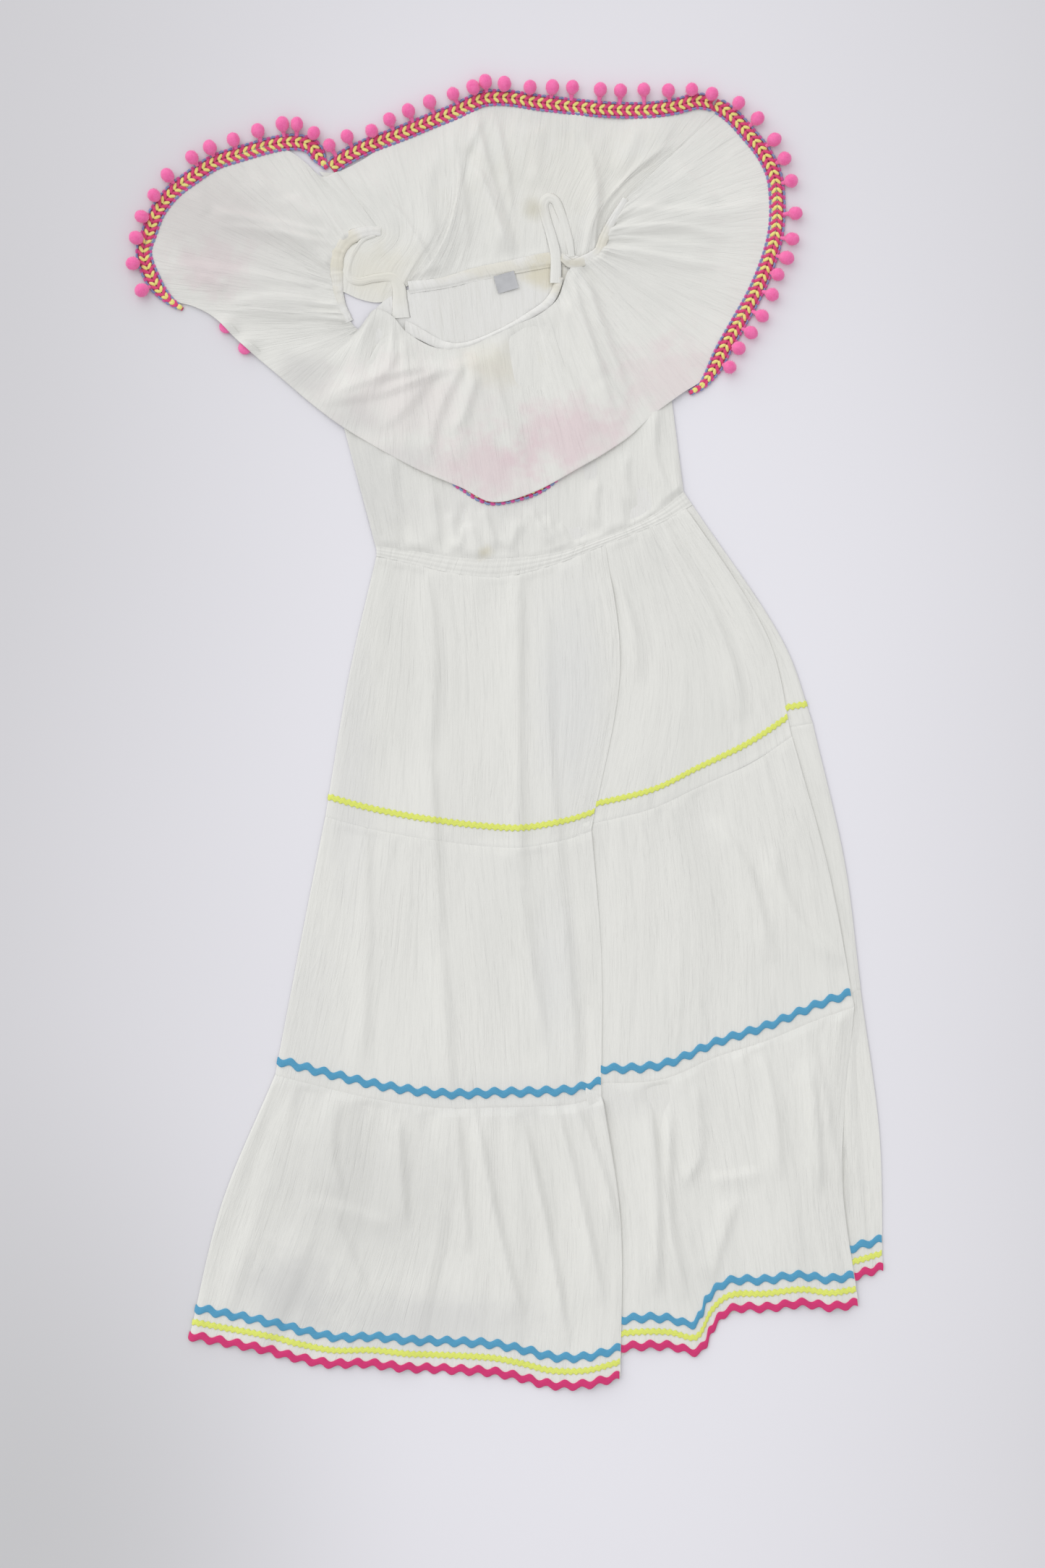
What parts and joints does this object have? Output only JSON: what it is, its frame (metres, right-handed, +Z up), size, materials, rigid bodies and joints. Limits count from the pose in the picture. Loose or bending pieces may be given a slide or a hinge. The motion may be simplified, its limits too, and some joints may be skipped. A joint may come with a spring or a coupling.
{
  "type": "fit and flare dress",
  "caption": "White crinkled-cotton dress laid flat: wide off-shoulder flounce with pompom braid, elastic waist and a tiered flared skirt trimmed with rickrack",
  "frame": {"origin": "centre of the bounding box in plan, on the surface that the dress lies on", "axes": "+X to the right of the dress as laid with its front up, +Y from the hem towards the neck, +Z up through the cloth layers"},
  "size_m": [0.6792, 1.1808, 0.0131],
  "materials": {
    "white_cotton": "crinkled plain-weave cotton, matte",
    "label_satin": "plain woven satin label, soft sheen",
    "braid_yarn": "pink yarn braid with cut-yarn pompoms, fuzzy",
    "rickrack_yellow": "woven zigzag tape, bright yellow, matte",
    "rickrack_blue": "woven zigzag tape, mid blue, matte",
    "rickrack_pink": "woven zigzag tape, deep pink, matte"
  },
  "bodies": {
    "root": {"skirt_top_tier_front": "white_cotton", "skirt_middle_tier_front": "white_cotton", "skirt_bottom_tier_front": "white_cotton", "skirt_top_tier_back": "white_cotton", "skirt_middle_tier_back": "white_cotton", "skirt_bottom_tier_back": "white_cotton", "waist_casing_front": "white_cotton", "waist_casing_back": "white_cotton", "bodice_front": "white_cotton", "bodice_back": "white_cotton", "neck_casing_front": "white_cotton", "neck_casing_back": "white_cotton", "flounce_front": "white_cotton", "flounce_back": "white_cotton", "sleeve_casing_left": "white_cotton", "sleeve_casing_right": "white_cotton", "strap_left": "white_cotton", "strap_right": "white_cotton", "neck_label": "label_satin", "pompom_braid_left_1": "braid_yarn", "pompom_braid_left_2": "braid_yarn", "pompom_braid_left_3": "braid_yarn", "pompom_braid_back_1": "braid_yarn", "pompom_braid_back_2": "braid_yarn", "pompom_braid_back_3": "braid_yarn", "pompom_braid_right_1": "braid_yarn", "pompom_braid_right_2": "braid_yarn", "pompom_braid_right_3": "braid_yarn", "pompom_braid_front_1": "braid_yarn", "tier_rickrack_yellow_1": "rickrack_yellow", "tier_rickrack_yellow_2": "rickrack_yellow", "tier_rickrack_yellow_3": "rickrack_yellow", "hem_rickrack_yellow_1": "rickrack_yellow", "hem_rickrack_yellow_2": "rickrack_yellow", "hem_rickrack_yellow_3": "rickrack_yellow", "tier_rickrack_blue_1": "rickrack_blue", "tier_rickrack_blue_2": "rickrack_blue", "hem_rickrack_blue_1": "rickrack_blue", "hem_rickrack_blue_2": "rickrack_blue", "hem_rickrack_blue_3": "rickrack_blue", "hem_rickrack_pink_1": "rickrack_pink", "hem_rickrack_pink_2": "rickrack_pink", "hem_rickrack_pink_3": "rickrack_pink"}
  },
  "joints": []
}
